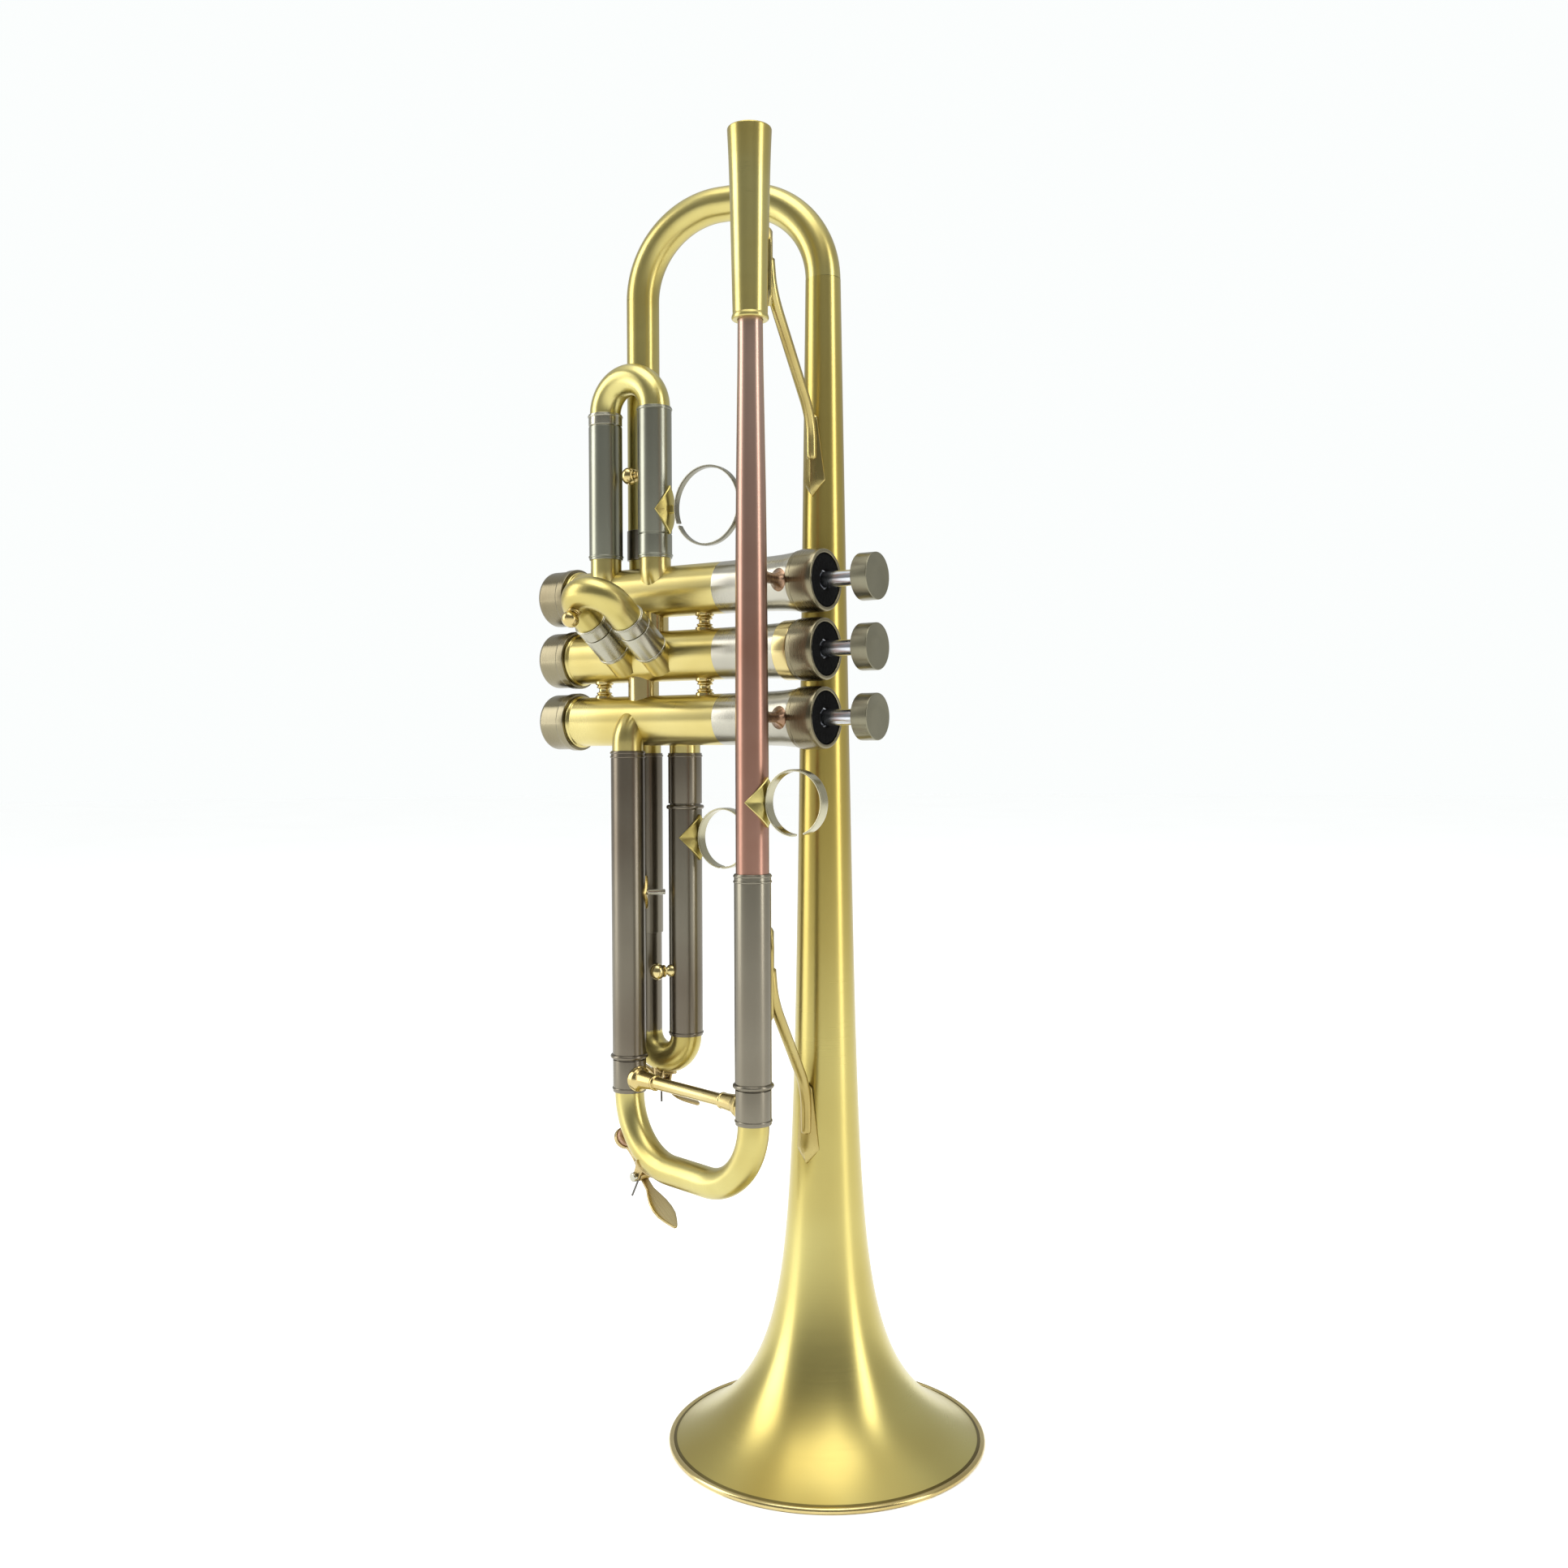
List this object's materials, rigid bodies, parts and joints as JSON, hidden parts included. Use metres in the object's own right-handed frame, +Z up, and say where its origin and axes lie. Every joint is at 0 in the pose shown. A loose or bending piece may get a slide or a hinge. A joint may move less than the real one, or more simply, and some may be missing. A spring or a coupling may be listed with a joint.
{
  "type": "piston valve trumpet",
  "caption": "Piston-valve trumpet standing on its bell: flared bell, leadpipe, valves with finger buttons, sliding crooks, finger rings and water keys.",
  "frame": {"origin": "centre of the bell rim, on the plane the rim rests on", "axes": "+Z up the bell axis towards the player's end, +X towards the finger buttons, -Y the leadpipe side"},
  "size_m": [0.1781, 0.1311, 0.489],
  "materials": {
    "bell_brass": "brushed satin",
    "trim_brass": "polished",
    "nickel_silver": "brushed satin",
    "pale_nickel": "satin",
    "cap_nickel": "antiqued satin",
    "copper": "brushed satin, red brass",
    "steel": "polished",
    "piston_metal": "lapped",
    "felt": "felted wool",
    "guide_plastic": "plain",
    "cork": "cork"
  },
  "bodies": {
    "horn": {"bell": "bell_brass", "bell_rim_wire": "bell_brass", "bell_bow": "bell_brass", "bell_tail": "bell_brass", "mouthpiece_receiver": "bell_brass", "leadpipe": "copper", "leadpipe_sleeve": "nickel_silver", "lower_sleeve": "nickel_silver", "valve_casings": "bell_brass", "valve_balusters": "pale_nickel", "top_caps": "cap_nickel", "bottom_caps": "cap_nickel", "cap_felts": "felt", "valve_guides": "guide_plastic", "crossover_tubes": "bell_brass", "casing_braces": "trim_brass", "upper_bell_brace": "trim_brass", "lower_bell_brace": "trim_brass", "leadpipe_posts": "copper", "pinky_ring": "pale_nickel", "sleeve_post": "trim_brass", "first_valve_knuckles": "bell_brass", "first_slide_fixed_tubes": "nickel_silver", "second_valve_knuckles": "bell_brass", "second_slide_sleeves": "nickel_silver", "third_valve_knuckles": "bell_brass", "third_slide_fixed_tubes": "nickel_silver"},
    "tuning_slide": {"tuning_bow": "bell_brass", "tuning_legs": "nickel_silver", "tuning_brace": "trim_brass", "water_key_mount": "trim_brass"},
    "water_key": {"water_key_lever": "trim_brass", "water_key_cork": "cork"},
    "first_slide": {"first_bow": "bell_brass", "first_inner_leg": "nickel_silver", "first_outer_sleeve": "nickel_silver", "first_knob": "trim_brass", "thumb_ring": "pale_nickel"},
    "second_slide": {"second_bow": "bell_brass", "second_legs": "nickel_silver", "second_knob": "trim_brass"},
    "third_slide": {"third_bow": "bell_brass", "third_outer_sleeve": "nickel_silver", "third_inner_leg": "nickel_silver", "third_knob": "trim_brass", "finger_ring": "pale_nickel", "third_key_mount": "trim_brass"},
    "third_water_key": {"third_key_lever": "trim_brass"},
    "valve_1": {"piston_1": "piston_metal", "stem_1": "steel", "finger_button_1": "cap_nickel", "valve_spring_1": "steel"},
    "valve_2": {"piston_2": "piston_metal", "stem_2": "steel", "finger_button_2": "cap_nickel", "valve_spring_2": "steel"},
    "valve_3": {"piston_3": "piston_metal", "stem_3": "steel", "finger_button_3": "cap_nickel", "valve_spring_3": "steel"}
  },
  "joints": [
    {"name": "valve_1_press", "type": "slide", "parent": "horn", "child": "valve_1", "axis": [-1, 0, 0], "range_m": [0, 0.0152], "stiffness_N_per_m": 120, "springref_m": -0.02, "deforming": ["valve_spring_1"]},
    {"name": "valve_2_press", "type": "slide", "parent": "horn", "child": "valve_2", "axis": [-1, 0, 0], "range_m": [0, 0.0152], "stiffness_N_per_m": 120, "springref_m": -0.02, "deforming": ["valve_spring_2"]},
    {"name": "valve_3_press", "type": "slide", "parent": "horn", "child": "valve_3", "axis": [-1, 0, 0], "range_m": [0, 0.0152], "stiffness_N_per_m": 120, "springref_m": -0.02, "deforming": ["valve_spring_3"]},
    {"name": "tuning_slide_pull", "type": "slide", "parent": "horn", "child": "tuning_slide", "axis": [0, 0, -1], "range_m": [0, 0.045]},
    {"name": "water_key_pivot", "type": "hinge", "parent": "tuning_slide", "child": "water_key", "pos_m": [-0.06325, -0.03449, 0.1012], "axis": [-0.2489, -0.9685, 0], "range_deg": [0, 20], "stiffness_Nm_per_rad": 0.02, "springref_deg": -17.19},
    {"name": "first_slide_pull", "type": "slide", "parent": "horn", "child": "first_slide", "axis": [0, 0, 1], "range_m": [0, 0.02]},
    {"name": "second_slide_pull", "type": "slide", "parent": "horn", "child": "second_slide", "axis": [0, -0.807, 0.5906], "range_m": [0, 0.012]},
    {"name": "third_slide_pull", "type": "slide", "parent": "horn", "child": "third_slide", "axis": [0, 0, -1], "range_m": [0, 0.02]},
    {"name": "third_water_key_pivot", "type": "hinge", "parent": "third_slide", "child": "third_water_key", "pos_m": [-0.06695, -0.0165, 0.134], "axis": [0, -1, 0], "range_deg": [0, 18], "stiffness_Nm_per_rad": 0.012, "springref_deg": -17.19}
  ]
}
